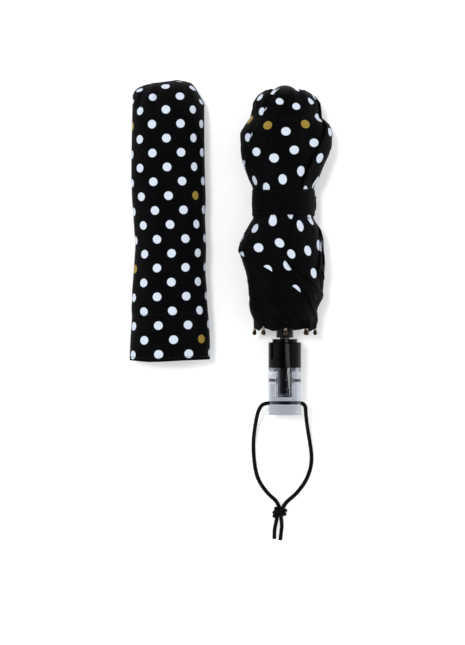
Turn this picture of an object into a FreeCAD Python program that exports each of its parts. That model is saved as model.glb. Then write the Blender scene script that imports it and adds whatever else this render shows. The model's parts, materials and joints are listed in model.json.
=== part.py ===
import FreeCAD, Part
import math
import os

# A compact, three-fold umbrella, closed and strapped, with its loose sleeve beside it.
# Millimetres. The umbrella lies on z = 0 with its shaft along Y, crown towards +Y.
#
# Ribs are drawn in a rib plane: r is the distance from the shaft's axis, and s is the
# distance from the crown hinges towards the handle. Rib number k stands at 45 * k degrees
# about the shaft, from +X towards +Z.

Vector = FreeCAD.Vector

# Where the umbrella lies
AXIS_X = 41.0
AXIS_Z = 27.0
CROWN_Y = 104.0
RIBS = 8
RIB_ANGLE = 360.0 / RIBS

# Telescopic shaft: [outer radius, inner radius, low end Y, high end Y]
LOWER_TUBE = (3.82, 3.2, -112.0, 92.0)
MIDDLE_TUBE = (4.42, 3.9, -68.0, 100.0)
TOP_TUBE = (5.0, 4.5, -66.0, 108.0)

# Handle
GRIP_R = 12.5
GRIP_END_Y = -128.0
COLLAR_LOW_Y = -92.3
COLLAR_HIGH_Y = -73.0
COLLAR_STEP_R = 9.5
COLLAR_STEP_Y = -70.5
EDGE_ROUND = 0.9
SOCKET_R = 5.3
SOCKET_END_Y = -114.5
SOCKET_FLANGE_R = 8.5
SOCKET_FLANGE_T = 2.7
SCREW_Y = -102.0
SCREW_R = 1.2
SCREW_HEAD_R = 2.3
SCREW_HEAD_T = 1.7
SCREW_SUNK = 0.2
CORD_Y = -119.2
CORD_R = 1.5
CORD_HOLE_R = 1.7

# Crown: notch disc, its ring wire and the cap
HINGE_R = 8.0
NOTCH_R = 9.3
NOTCH_HALF_T = 2.0
NOTCH_SLOT_FLOOR = 6.3
NOTCH_SLOT_HALF = 1.3
WIRE_R = 0.45
CAP_R = 11.0
CAP_LOW_Y = 106.2
CAP_SHOULDER_Y = 112.0
CAP_TOP_Y = 122.0
CAP_POCKET_Y = 108.2

# Ribs: channels of folded sheet, tongue and fork hinges
SHEET_T = 0.5
EYE_R = 1.3
TONGUE_HALF = 0.8
FORK_INNER = 1.1
PIN_R = 0.5
PIN_HOLE_R = 0.56
WIRE_HOLE_R = 0.58
CHANNEL_GAP = 2.5
INNER_LOW_R = 7.0
INNER_HIGH_R = 9.8
INNER_HALF = 1.8
INNER_EYE_HALF = 1.0
INNER_START_S = 2.8
ELBOW_RISE = 0.8
KNEE_S = 146.0
MIDDLE_LOW_R = 10.2
MIDDLE_HIGH_R = 12.6
MIDDLE_HALF = 1.6
ELBOW_S = 2.0
FORK_LENGTH = 4.0
TONGUE_LENGTH = 8.0
STRETCHER_S = 77.0
STRETCHER_LENGTH = 77.0
STRETCHER_HALF = 0.9
STRETCHER_HALF_DEPTH = 0.8
STRETCHER_EYE_R = 1.15
STRETCHER_PIN_R = 0.6
STRETCHER_PIN_HALF = 1.7
OUTER_ROD_R = 1.0
OUTER_START_R = 14.6
OUTER_BLOCK_S = (8.0, 11.0)
TIP_R = 23.0
TIP_S = 170.0
TIP_BALL_R = 1.45

# Runner and the leaf that holds it up
RUNNER_BORE_R = 5.08
RUNNER_R = 6.4
RUNNER_S = (150.0, 173.5)
FLANGE_R = 9.5
FLANGE_S = (151.5, 156.5)
FLANGE_STEP_S = 153.1
FLANGE_SLOT_FLOOR = 6.6
FLANGE_SLOT_HALF = 1.25
FLANGE_POCKET_HALF = 2.05
CATCH_Y = (38.0, 50.0)
CATCH_R = (4.52, 4.9)
CATCH_HALF = 0.8
CATCH_WINDOW_GAP = 0.3
CATCH_ANGLE = 112.5

# Folded canopy: (Y, half width towards -X, half width towards +X, half height)
BUNDLE = [
    (-60.0, 26.5, 26.5, 26.5),
    (-40.0, 29.0, 29.0, 27.0),
    (-18.0, 31.0, 29.0, 27.0),
    (-4.0, 36.0, 29.0, 27.0),
    (8.0, 32.0, 28.5, 26.5),
    (20.0, 24.2, 24.2, 23.6),
    (46.0, 24.2, 24.2, 23.6),
    (60.0, 29.0, 30.0, 26.5),
    (76.0, 33.0, 36.5, 27.0),
    (88.0, 33.5, 36.0, 27.0),
    (95.0, 27.0, 28.5, 25.0),
    (106.0, 24.5, 26.0, 23.5),
    (113.0, 21.0, 22.0, 20.0),
    (118.5, 13.0, 13.0, 13.0),
]
BUNDLE_SAG = 1.11
CAVITY_LOW_R = 25.0
CAVITY_HIGH_R = 17.5
CAVITY_TOP_Y = 110.0
CANOPY_HOLE_R = 11.4
GORE_GAP = 0.1
STRAP_Y = (22.3, 43.8)
STRAP_CLEAR = 0.1
STRAP_T = 1.0
FASTENER_Y = (28.0, 38.0)
FASTENER_HALF = 6.0
FASTENER_T = 0.9

# Loose sleeve: (Y, centre X, half width, half height)
SLEEVE = [
    (-86.5, -46.7, 30.8, 18.5),
    (-52.0, -46.8, 30.0, 18.5),
    (20.0, -47.3, 29.0, 18.0),
    (85.0, -47.4, 28.2, 17.0),
    (110.0, -47.5, 27.4, 13.0),
    (121.0, -47.5, 24.5, 7.5),
    (128.0, -47.5, 19.0, 3.5),
]
SLEEVE_FLOOR_Z = 18.5
SLEEVE_WALL = 1.2

# Wrist cord: the two strands from the handle's cross hole to the knot, and its two tails
LEFT_STRAND = [
    (28.3, -119.2, 27.0),
    (24.4, -119.5, 26.5),
    (20.4, -124.6, 22.9),
    (17.9, -134.0, 14.6),
    (17.3, -147.5, 5.0),
    (18.9, -162.0, 1.5),
    (22.8, -176.5, 1.5),
    (28.6, -190.0, 1.5),
    (34.8, -201.6, 3.0),
]
RIGHT_STRAND = [
    (53.7, -119.2, 27.0),
    (57.6, -119.6, 26.5),
    (61.0, -125.2, 23.0),
    (62.7, -134.6, 15.0),
    (63.4, -148.0, 5.2),
    (62.6, -162.5, 1.5),
    (59.4, -177.0, 1.5),
    (51.6, -190.6, 1.5),
    (41.0, -201.2, 3.0),
]
LEFT_TAIL = [(35.8, -206.6, 2.9), (34.3, -213.0, 1.7), (33.3, -219.0, 1.5), (33.5, -224.3, 1.5)]
RIGHT_TAIL = [(38.4, -206.6, 2.9), (39.3, -213.2, 1.7), (38.6, -219.6, 1.5), (38.0, -225.2, 1.5)]
KNOT_CENTRE = (36.9, -204.2, 3.6)
KNOT_HALF_X = 2.6
KNOT_R = 3.5


def placed(shape):
    """Moves a shape from the shaft's own axis to where the umbrella lies."""
    moved = shape.copy()
    moved.translate(Vector(AXIS_X, 0, AXIS_Z))
    return moved


def save(name, shape):
    """Writes one sub-part, after a check that it is made of closed, valid solids."""
    if not shape.isValid() or not shape.Solids:
        raise ValueError(f"{name} is not a valid solid")
    for solid in shape.Solids:
        if not solid.isClosed() or solid.Volume <= 0:
            raise ValueError(f"{name} has an open or inside-out solid")
    shape.exportStep(f"parts/{name}.step")
    print(f"{name}: {len(shape.Solids)} solid(s), {shape.Volume / 1000:.2f} cm3")


def ring(outer_r, inner_r, low_y, high_y):
    """A tube about the shaft's axis, or a rod where inner_r is 0."""
    outer = Part.makeCylinder(outer_r, high_y - low_y, Vector(0, low_y, 0), Vector(0, 1, 0))
    if inner_r == 0:
        return outer
    bore = Part.makeCylinder(inner_r, high_y - low_y, Vector(0, low_y, 0), Vector(0, 1, 0))
    return outer.cut(bore)


def bar(low_r, high_r, low_s, high_s, low_t, high_t):
    """A box in the rib plane of rib 0, from low_t to high_t across it."""
    corner = Vector(low_r, CROWN_Y - high_s, low_t)
    return Part.makeBox(high_r - low_r, high_s - low_s, high_t - low_t, corner)


def plate(points, half):
    """A flat plate in the rib plane of rib 0 with the outline of these (r, s) points."""
    corners = [Vector(r, CROWN_Y - s, -half) for r, s in points]
    outline = Part.makePolygon(corners + corners[:1])
    return Part.Face(outline).extrude(Vector(0, 0, 2 * half))


def cross_pin(r, s, radius, half):
    """A pin across the rib plane of rib 0."""
    centre = Vector(r, CROWN_Y - s, -half)
    return Part.makeCylinder(radius, 2 * half, centre, Vector(0, 0, 1))


def turned(shape, degrees):
    """Turns a shape about the shaft from +X towards +Z."""
    copy = shape.copy()
    copy.rotate(Vector(0, 0, 0), Vector(0, 1, 0), -degrees)
    return copy


def channel(low_r, high_r, low_s, high_s, half):
    """A channel of folded sheet, open towards the shaft."""
    outside = bar(low_r, high_r, low_s, high_s, -half, half)
    inside = bar(low_r, high_r - SHEET_T, low_s, high_s, SHEET_T - half, half - SHEET_T)
    return outside.cut(inside)


def tongue(high_r, hinge_s, towards):
    """A tongue that lifts a hinge eye off a channel's back, and the hinge's (r, s).

    towards is +1 where the channel's end is the handle end, and -1 at the crown end.
    """
    hinge_r = high_r + ELBOW_RISE
    root_s = hinge_s - towards * TONGUE_LENGTH
    mid_s = hinge_s - towards * 0.45 * TONGUE_LENGTH
    outline = [
        (high_r - SHEET_T, root_s),
        (high_r - SHEET_T, hinge_s),
        (hinge_r + EYE_R, hinge_s),
        (hinge_r + 0.3 * EYE_R, mid_s),
        (high_r, root_s),
    ]
    eye = cross_pin(hinge_r, hinge_s, EYE_R, TONGUE_HALF)
    return plate(outline, TONGUE_HALF).fuse(eye), (hinge_r, hinge_s)


def fork(hinge, low_r, high_r, far_s, outer_half):
    """Two cheeks and a pin about a hinge, reaching along the rib to far_s."""
    r, s = hinge
    pieces = [cross_pin(r, s, PIN_R, outer_half - 0.1)]
    for side in (-1, 1):
        low_t, high_t = sorted((side * FORK_INNER, side * outer_half))
        pieces.append(bar(low_r, high_r, min(s, far_s), max(s, far_s), low_t, high_t))
        centre = Vector(r, CROWN_Y - s, low_t)
        pieces.append(Part.makeCylinder(EYE_R, high_t - low_t, centre, Vector(0, 0, 1)))
    return pieces


def inner_rib():
    """From the crown's ring wire to the knee, with the pin that the stretcher turns on."""
    lug, knee = tongue(INNER_HIGH_R, KNEE_S, 1)
    body = channel(INNER_LOW_R, INNER_HIGH_R, INNER_START_S, KNEE_S - CHANNEL_GAP, INNER_HALF)
    eye = cross_pin(HINGE_R, 0, EYE_R, INNER_EYE_HALF)
    neck_high_r = HINGE_R + EYE_R
    neck = bar(INNER_LOW_R + 0.2, neck_high_r, 0, 2 * INNER_START_S, -INNER_EYE_HALF, INNER_EYE_HALF)
    web = bar(
        INNER_LOW_R + 0.2, INNER_HIGH_R, INNER_START_S, 3 * INNER_START_S,
        -INNER_EYE_HALF, INNER_EYE_HALF,
    )
    pin = cross_pin(HINGE_R, STRETCHER_S, PIN_R, INNER_HALF - 0.1)
    shape = body.multiFuse([eye, neck, web, pin, lug])
    shape = shape.cut(cross_pin(HINGE_R, 0, WIRE_HOLE_R, INNER_HALF))
    shape = shape.cut(cross_pin(knee[0], knee[1], PIN_HOLE_R, INNER_HALF))
    return shape, knee


def middle_rib(knee):
    """From the knee back up to the elbow beside the crown."""
    lug, elbow = tongue(MIDDLE_HIGH_R, ELBOW_S, -1)
    start_s = KNEE_S - FORK_LENGTH
    body = channel(MIDDLE_LOW_R, MIDDLE_HIGH_R, ELBOW_S + CHANNEL_GAP, start_s, MIDDLE_HALF)
    cheeks = fork(knee, MIDDLE_LOW_R, knee[0] + EYE_R, start_s, MIDDLE_HALF)
    shape = body.multiFuse(cheeks + [lug])
    return shape.cut(cross_pin(elbow[0], elbow[1], PIN_HOLE_R, MIDDLE_HALF)), elbow


def outer_rib(elbow):
    """A round rod from the elbow down to the tip ball at the canopy's edge."""
    block_start, block_end = OUTER_BLOCK_S
    cheek_low_r = OUTER_START_R - 1.6 * OUTER_ROD_R
    cheek_high_r = OUTER_START_R + 0.6 * OUTER_ROD_R
    pieces = fork(elbow, cheek_low_r, cheek_high_r, block_start, MIDDLE_HALF)
    block = bar(
        OUTER_START_R - 0.7, OUTER_START_R + OUTER_ROD_R, block_start, block_end,
        -MIDDLE_HALF, MIDDLE_HALF,
    )
    start = Vector(OUTER_START_R, CROWN_Y - block_start - 1.0, 0)
    tip = Vector(TIP_R, CROWN_Y - TIP_S, 0)
    rod = Part.makeCylinder(OUTER_ROD_R, (tip - start).Length, start, tip - start)
    ball = Part.makeSphere(TIP_BALL_R, tip)
    return block.multiFuse(pieces + [rod, ball])


def stretcher():
    """From the inner rib's pin to the runner, lying in the inner rib's channel."""
    end_s = STRETCHER_S + STRETCHER_LENGTH
    body = bar(
        HINGE_R - STRETCHER_HALF_DEPTH, HINGE_R + STRETCHER_HALF_DEPTH,
        STRETCHER_S, end_s, -STRETCHER_HALF, STRETCHER_HALF,
    )
    eyes = [
        cross_pin(HINGE_R, s, STRETCHER_EYE_R, STRETCHER_HALF) for s in (STRETCHER_S, end_s)
    ]
    foot = cross_pin(HINGE_R, end_s, STRETCHER_PIN_R, STRETCHER_PIN_HALF)
    shape = body.multiFuse(eyes + [foot])
    return shape.cut(cross_pin(HINGE_R, STRETCHER_S, PIN_HOLE_R, INNER_HALF))


def runner():
    """The sliding runner: each stretcher's foot pin bears on a step inside a flange slot."""
    low_s, high_s = RUNNER_S
    body = ring(RUNNER_R, 0, CROWN_Y - high_s, CROWN_Y - low_s)
    flange = ring(FLANGE_R, 0, CROWN_Y - FLANGE_S[1], CROWN_Y - FLANGE_S[0])
    shape = body.fuse(flange)
    shape = shape.cut(ring(RUNNER_BORE_R, 0, CROWN_Y - high_s - 1, CROWN_Y - low_s + 1))
    for k in range(RIBS):
        slot = bar(
            FLANGE_SLOT_FLOOR, FLANGE_R + 1, FLANGE_S[0] - 1, FLANGE_STEP_S,
            -FLANGE_SLOT_HALF, FLANGE_SLOT_HALF,
        )
        pocket = bar(
            FLANGE_SLOT_FLOOR, FLANGE_R + 1, FLANGE_STEP_S, FLANGE_S[1] + 1,
            -FLANGE_POCKET_HALF, FLANGE_POCKET_HALF,
        )
        shape = shape.cut(turned(slot.fuse(pocket), k * RIB_ANGLE))
    return shape


def top_tube():
    """The widest tube, which carries the crown, with a window for the catch leaf."""
    shape = ring(*TOP_TUBE)
    window = Part.makeBox(
        TOP_TUBE[0],
        CATCH_Y[1] - CATCH_Y[0] + 2 * CATCH_WINDOW_GAP,
        2 * (CATCH_HALF + CATCH_WINDOW_GAP),
        Vector(2.0, CATCH_Y[0] - CATCH_WINDOW_GAP, -CATCH_HALF - CATCH_WINDOW_GAP),
    )
    return shape.cut(turned(window, CATCH_ANGLE))


def catch_leaf():
    """A spring leaf in the top tube's window: its upper end stands out under the runner."""
    leaf = Part.makeBox(
        CATCH_R[1] - CATCH_R[0],
        CATCH_Y[1] - CATCH_Y[0],
        2 * CATCH_HALF,
        Vector(CATCH_R[0], CATCH_Y[0], -CATCH_HALF),
    )
    return turned(leaf, CATCH_ANGLE)


def notch_wire():
    """The ring wire that the eight inner ribs turn on."""
    return Part.makeTorus(HINGE_R, WIRE_R, Vector(0, CROWN_Y, 0), Vector(0, 1, 0))


def notch():
    """The slotted disc on the top tube that holds the ring wire."""
    shape = ring(NOTCH_R, TOP_TUBE[0], CROWN_Y - NOTCH_HALF_T, CROWN_Y + NOTCH_HALF_T)
    for k in range(RIBS):
        slot = bar(
            NOTCH_SLOT_FLOOR, NOTCH_R + 1, -NOTCH_HALF_T - 1, NOTCH_HALF_T + 1,
            -NOTCH_SLOT_HALF, NOTCH_SLOT_HALF,
        )
        shape = shape.cut(turned(slot, k * RIB_ANGLE))
    return shape.cut(notch_wire())


def cap():
    """The domed cap over the crown: its section is revolved about the shaft's axis."""
    steps = 8
    profile = [Vector(TOP_TUBE[0], CAP_POCKET_Y, 0), Vector(TOP_TUBE[0], CAP_LOW_Y, 0)]
    profile.append(Vector(CAP_R, CAP_LOW_Y, 0))
    dome_height = CAP_TOP_Y - CAP_SHOULDER_Y
    dome = [
        Vector(
            CAP_R * math.cos(math.pi / 2 * n / steps),
            CAP_SHOULDER_Y + dome_height * math.sin(math.pi / 2 * n / steps),
            0,
        )
        for n in range(steps + 1)
    ]
    curve = Part.BSplineCurve()
    curve.interpolate(dome)
    edges = [Part.makeLine(a, b) for a, b in zip(profile, profile[1:])]
    edges.append(Part.makeLine(profile[-1], dome[0]))
    edges.append(curve.toShape())
    edges.append(Part.makeLine(dome[-1], Vector(0, CAP_POCKET_Y, 0)))
    edges.append(Part.makeLine(Vector(0, CAP_POCKET_Y, 0), profile[0]))
    face = Part.Face(Part.Wire(edges))
    return face.revolve(Vector(0, 0, 0), Vector(0, 1, 0), 360)


def oval(y, left, right, top, bottom):
    """A closed oval in the plane of this y, with its own reach on each of its four sides."""
    points = []
    steps = 32
    for n in range(steps):
        angle = 2 * math.pi * n / steps
        reach_x = right if math.cos(angle) > 0 else left
        reach_z = top if math.sin(angle) > 0 else bottom
        points.append(Vector(reach_x * math.cos(angle), y, reach_z * math.sin(angle)))
    curve = Part.BSplineCurve()
    curve.interpolate(points, PeriodicFlag=True)
    return Part.Wire(curve.toShape())


def wedge(k):
    """The room between rib k and the next one, drawn back from both by the gore gap."""
    middle = math.radians((k + 0.5) * RIB_ANGLE)
    back = GORE_GAP / math.sin(math.radians(RIB_ANGLE / 2))
    low_y = BUNDLE[0][0] - 1
    apex = Vector(back * math.cos(middle), low_y, back * math.sin(middle))
    reach = 90.0
    corners = [apex]
    for angle in (math.radians(k * RIB_ANGLE), math.radians((k + 1) * RIB_ANGLE)):
        corners.append(apex + Vector(reach * math.cos(angle), 0, reach * math.sin(angle)))
    face = Part.Face(Part.makePolygon(corners + corners[:1]))
    return face.extrude(Vector(0, BUNDLE[-1][0] + 1 - low_y, 0))


def folded_canopy():
    """The whole roll of folded cloth: open below, closed round the cap, flat on the floor."""
    sections = []
    for y, left, right, half in BUNDLE:
        bottom = half * BUNDLE_SAG if half >= 26.5 else half
        sections.append(oval(y, left, right, half, bottom))
    roll = Part.makeLoft(sections, True, True)
    above = Part.makeBox(200, 400, 200, Vector(-100, -200, -AXIS_Z))
    roll = roll.common(above)
    cavity_low_y = BUNDLE[0][0]
    cavity = Part.makeCone(
        CAVITY_LOW_R, CAVITY_HIGH_R, CAVITY_TOP_Y - cavity_low_y,
        Vector(0, cavity_low_y, 0), Vector(0, 1, 0),
    )
    hole = ring(CANOPY_HOLE_R, 0, CAVITY_TOP_Y - 1, BUNDLE[-1][0] + 1)
    return roll.cut(cavity.fuse(hole))


def ellipse_rod(half_x, half_z, low_y, high_y):
    """A rod of elliptical section about the shaft's axis."""
    return Part.makeLoft(
        [oval(y, half_x, half_x, half_z, half_z) for y in (low_y, high_y)], True, True
    )


def strap_section():
    """Half width and half height of the strapped waist."""
    for y, left, _, half in BUNDLE:
        if y >= STRAP_Y[0] - 5:
            return left, half
    raise ValueError("no section under the strap")


def strap():
    """The band that holds the canopy closed."""
    half_x, half_z = strap_section()
    inner = STRAP_CLEAR
    outer = STRAP_CLEAR + STRAP_T
    band = ellipse_rod(half_x + outer, half_z + outer, *STRAP_Y)
    hollow = ellipse_rod(half_x + inner, half_z + inner, STRAP_Y[0] - 1, STRAP_Y[1] + 1)
    return band.cut(hollow)


def strap_fastener():
    """The touch-fastening patch on the strap's end, at the +X side of the band."""
    half_x, half_z = strap_section()
    inner = STRAP_CLEAR + STRAP_T
    outer = inner + FASTENER_T
    band = ellipse_rod(half_x + outer, half_z + outer, *FASTENER_Y)
    hollow = ellipse_rod(half_x + inner, half_z + inner, FASTENER_Y[0] - 1, FASTENER_Y[1] + 1)
    window = Part.makeBox(60, 60, 2 * FASTENER_HALF, Vector(0, 0, -FASTENER_HALF))
    return band.cut(hollow).common(window)


def sleeve():
    """The loose cloth sleeve: a closed end at +Y and an open mouth at -Y."""
    outer = []
    inner = []
    last = len(SLEEVE) - 1
    for n, (y, centre, half_x, half_z) in enumerate(SLEEVE):
        section = oval(y, half_x, half_x, half_z, half_z)
        section.translate(Vector(centre, 0, SLEEVE_FLOOR_Z))
        outer.append(section)
        if n == last:
            continue
        inside_y = y - 1 if n == 0 else y
        hollow = oval(
            inside_y, half_x - SLEEVE_WALL, half_x - SLEEVE_WALL,
            half_z - SLEEVE_WALL, half_z - SLEEVE_WALL,
        )
        hollow.translate(Vector(centre, 0, SLEEVE_FLOOR_Z))
        inner.append(hollow)
    return Part.makeLoft(outer, True, True).cut(Part.makeLoft(inner, True, True))


def grip_collar():
    """The glossy collar above the clear grip, with its step towards the runner."""
    body = ring(GRIP_R, 0, COLLAR_LOW_Y, COLLAR_HIGH_Y)
    top_edge = [e for e in body.Edges if e.CenterOfMass.y > COLLAR_HIGH_Y - 0.01]
    body = body.makeFillet(EDGE_ROUND, top_edge)
    step = ring(COLLAR_STEP_R, 0, COLLAR_HIGH_Y - 1, COLLAR_STEP_Y)
    shape = body.fuse(step)
    return shape.cut(ring(LOWER_TUBE[0], 0, COLLAR_LOW_Y - 1, COLLAR_STEP_Y + 1))


def shaft_socket():
    """The flanged insert that holds the lower tube inside the clear grip."""
    flange = ring(SOCKET_FLANGE_R, 0, COLLAR_LOW_Y - SOCKET_FLANGE_T, COLLAR_LOW_Y)
    body = ring(SOCKET_R, 0, SOCKET_END_Y, COLLAR_LOW_Y)
    bore = ring(LOWER_TUBE[0], 0, LOWER_TUBE[2], COLLAR_LOW_Y + 1)
    return flange.fuse(body).cut(bore)


def grip_screws():
    """Two screws that pin the socket in the grip, one from each side."""
    solids = []
    for side in (-1, 1):
        out = Vector(side, 0, 0)
        seat = GRIP_R - SCREW_SUNK
        shank = Part.makeCylinder(SCREW_R, seat - SOCKET_R, Vector(side * SOCKET_R, SCREW_Y, 0), out)
        head_start = Vector(side * (seat - SCREW_HEAD_T), SCREW_Y, 0)
        head = Part.makeCylinder(SCREW_HEAD_R, SCREW_HEAD_T, head_start, out)
        solids.append(shank.fuse(head))
    return Part.makeCompound(solids)


def clear_grip():
    """The clear grip: bored for the socket, with side holes for the screws and the cord."""
    body = ring(GRIP_R, 0, GRIP_END_Y, COLLAR_LOW_Y)
    end_edge = [e for e in body.Edges if e.CenterOfMass.y < GRIP_END_Y + 0.01]
    body = body.makeFillet(EDGE_ROUND, end_edge)
    bore = ring(SOCKET_R, 0, SOCKET_END_Y, COLLAR_LOW_Y + 1)
    seat = ring(SOCKET_FLANGE_R, 0, COLLAR_LOW_Y - SOCKET_FLANGE_T, COLLAR_LOW_Y + 1)
    cord_hole = Part.makeCylinder(
        CORD_HOLE_R, 4 * GRIP_R, Vector(-2 * GRIP_R, CORD_Y, 0), Vector(1, 0, 0)
    )
    cutters = [seat, cord_hole]
    for side in (-1, 1):
        out = Vector(side, 0, 0)
        cutters.append(Part.makeCylinder(SCREW_R, GRIP_R, Vector(0, SCREW_Y, 0), out))
        head_start = Vector(side * (GRIP_R - SCREW_SUNK - SCREW_HEAD_T), SCREW_Y, 0)
        cutters.append(Part.makeCylinder(SCREW_HEAD_R, GRIP_R, head_start, out))
    return body.cut(bore.multiFuse(cutters))


def rounded_path(name, route):
    """Straight runs joined by tangent arcs, each as large as its shorter run allows."""
    points = [Vector(*p) for p in route]
    edges = []
    radii = []
    start = points[0]
    for before, corner, after in zip(points, points[1:], points[2:]):
        inward = (before - corner).normalize()
        outward = (after - corner).normalize()
        turn = math.pi - inward.getAngle(outward)
        shorter = min((before - corner).Length, (after - corner).Length)
        tangent = 0.45 * shorter
        radius = tangent / math.tan(turn / 2)
        radii.append(radius)
        a = corner + inward * tangent
        b = corner + outward * tangent
        bisector = (inward + outward).normalize()
        centre = corner + bisector * (radius / math.cos(turn / 2))
        mid = centre - bisector * radius
        edges.append(Part.LineSegment(start, a).toShape())
        edges.append(Part.Arc(a, mid, b).toShape())
        start = b
    edges.append(Part.LineSegment(start, points[-1]).toShape())
    print(f"{name}: arc radii " + ", ".join(f"{r:.1f}" for r in radii))
    return Part.Wire(edges)


def cord_tube(name, route):
    """A round cord along a route, with its volume compared with section times length."""
    path = rounded_path(name, route)
    start, second = Vector(*route[0]), Vector(*route[1])
    section = Part.Wire(Part.makeCircle(CORD_R, start, second - start))
    tube = path.makePipeShell([section], True, False)
    ideal = math.pi * CORD_R**2 * path.Length
    print(f"{name}: {path.Length:.1f} mm long, volume / ideal = {tube.Volume / ideal:.4f}")
    return Part.Solid(tube) if tube.ShapeType != "Solid" else tube


def cord_in_hole():
    """The straight stretch of the wrist cord through the grip's cross hole."""
    low_x = LEFT_STRAND[0][0]
    length = RIGHT_STRAND[0][0] - low_x
    return Part.makeCylinder(CORD_R, length, Vector(low_x, CORD_Y, AXIS_Z), Vector(1, 0, 0))


def cord_knot():
    """The overhand knot that joins the two strands, and the two tails beyond it."""
    x, y, z = KNOT_CENTRE
    barrel = Part.makeCylinder(
        KNOT_R, 2 * KNOT_HALF_X, Vector(x - KNOT_HALF_X, y, z), Vector(1, 0, 0)
    )
    ends = [Part.makeSphere(KNOT_R, Vector(x + side * KNOT_HALF_X, y, z)) for side in (-1, 1)]
    tails = [cord_tube("left tail", LEFT_TAIL), cord_tube("right tail", RIGHT_TAIL)]
    return barrel.multiFuse(ends + tails)


def main():
    save("lower_tube", placed(ring(*LOWER_TUBE)))
    save("middle_tube", placed(ring(*MIDDLE_TUBE)))
    save("top_tube", placed(top_tube()))
    save("runner_catch", placed(catch_leaf()))
    save("runner", placed(runner()))
    save("top_notch", placed(notch()))
    save("notch_wire", placed(notch_wire()))
    save("top_cap", placed(cap()))

    save("clear_grip", placed(clear_grip()))
    save("grip_collar", placed(grip_collar()))
    save("shaft_socket", placed(shaft_socket()))
    save("grip_screws", placed(grip_screws()))
    save("wrist_cord_in_hole", cord_in_hole())
    save("wrist_cord_left", cord_tube("left strand", LEFT_STRAND))
    save("wrist_cord_right", cord_tube("right strand", RIGHT_STRAND))
    save("wrist_cord_knot", cord_knot())

    inner, knee = inner_rib()
    middle, elbow = middle_rib(knee)
    ribs = {
        "rib_inner": inner,
        "rib_middle": middle,
        "rib_outer": outer_rib(elbow),
        "stretcher": stretcher(),
    }
    canopy = folded_canopy()
    for k in range(RIBS):
        for name, shape in ribs.items():
            save(f"{name}_{k + 1}", placed(turned(shape, k * RIB_ANGLE)))
        save(f"canopy_gore_{k + 1}", placed(canopy.common(wedge(k))))
    save("strap", placed(strap()))
    save("strap_fastener", placed(strap_fastener()))
    save("sleeve", sleeve())


main()
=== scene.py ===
import json
import math
import random
from contextlib import contextmanager

import bmesh
import bpy
import numpy as np
from mathutils import Matrix, Vector

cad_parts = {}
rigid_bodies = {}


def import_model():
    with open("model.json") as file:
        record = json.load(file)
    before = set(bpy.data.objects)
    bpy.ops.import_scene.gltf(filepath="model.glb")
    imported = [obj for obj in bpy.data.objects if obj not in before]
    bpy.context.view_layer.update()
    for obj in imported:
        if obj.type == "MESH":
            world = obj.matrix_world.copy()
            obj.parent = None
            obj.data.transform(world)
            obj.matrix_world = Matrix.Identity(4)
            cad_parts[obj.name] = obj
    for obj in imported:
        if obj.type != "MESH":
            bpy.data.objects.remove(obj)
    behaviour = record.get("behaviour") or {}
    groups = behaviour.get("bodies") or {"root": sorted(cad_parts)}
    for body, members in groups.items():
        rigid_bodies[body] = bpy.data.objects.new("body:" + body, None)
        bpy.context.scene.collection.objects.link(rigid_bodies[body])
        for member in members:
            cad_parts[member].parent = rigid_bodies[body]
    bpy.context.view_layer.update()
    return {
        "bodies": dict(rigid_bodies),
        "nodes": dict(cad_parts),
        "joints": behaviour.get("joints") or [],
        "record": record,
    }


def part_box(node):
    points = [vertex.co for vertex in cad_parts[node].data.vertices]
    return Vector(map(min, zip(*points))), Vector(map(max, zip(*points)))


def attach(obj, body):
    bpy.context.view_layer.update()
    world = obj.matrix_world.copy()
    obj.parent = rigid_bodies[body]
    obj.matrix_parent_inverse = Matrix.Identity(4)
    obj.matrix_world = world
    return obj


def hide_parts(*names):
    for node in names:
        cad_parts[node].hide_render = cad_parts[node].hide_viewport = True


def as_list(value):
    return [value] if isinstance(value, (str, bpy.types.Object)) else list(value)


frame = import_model()

MM = 0.001
TAU = 2 * math.pi

# The view: straight down, with this much of the floor in it
VIEW_HEIGHT = 0.491
VIEW_CENTRE = (0.0013, -0.058)
CAMERA_Z = 2.0
FOCUS_Z = 0.02

# Cloth, millimetres in its own flat plane
DOT_SPACING = 15.4
DOT_RADIUS = 3.25
DOT_EDGE = 0.16
GOLD_EVERY = 5
CLOTH_T = 0.07

# Canopy: each gore is a flat triangle with these sides, folded as three spans along the ribs
RIBS = 8
GORE_ANGLE = math.radians(360 / RIBS)
HALF_GORE = GORE_ANGLE / 2
RIB_LENGTH = 458.0
KNEE_A = 146.0
TOP_A = 268.0
ELBOW_A = 290.0


def node_centre(name):
    low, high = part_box(name)
    return (low + high) / 2


def joint(name):
    return next(j for j in frame["joints"] if j["name"] == name)


SHAFT = node_centre("top_tube")
AXIS_X = SHAFT.x / MM
AXIS_Z = SHAFT.z / MM
TRAVEL = joint("runner_slide")["range_m"][1]
CROWN_Y = joint("rib_inner_hinge_1")["pos_m"][1] / MM
TIP_Y = CROWN_Y - 170.0
CROWN = np.array([AXIS_X, CROWN_Y, AXIS_Z])


# -------- camera and cords

def make_camera():
    """Looks straight down on the middle of the picture."""
    camera = bpy.data.cameras.new("camera")
    camera.sensor_width = 36.0
    camera.lens = 36.0 * (CAMERA_Z - FOCUS_Z) / VIEW_HEIGHT
    camera.clip_end = 20.0
    obj = link(bpy.data.objects.new("camera", camera))
    obj.location = (*VIEW_CENTRE, CAMERA_Z)
    bpy.context.scene.camera = obj


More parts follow.
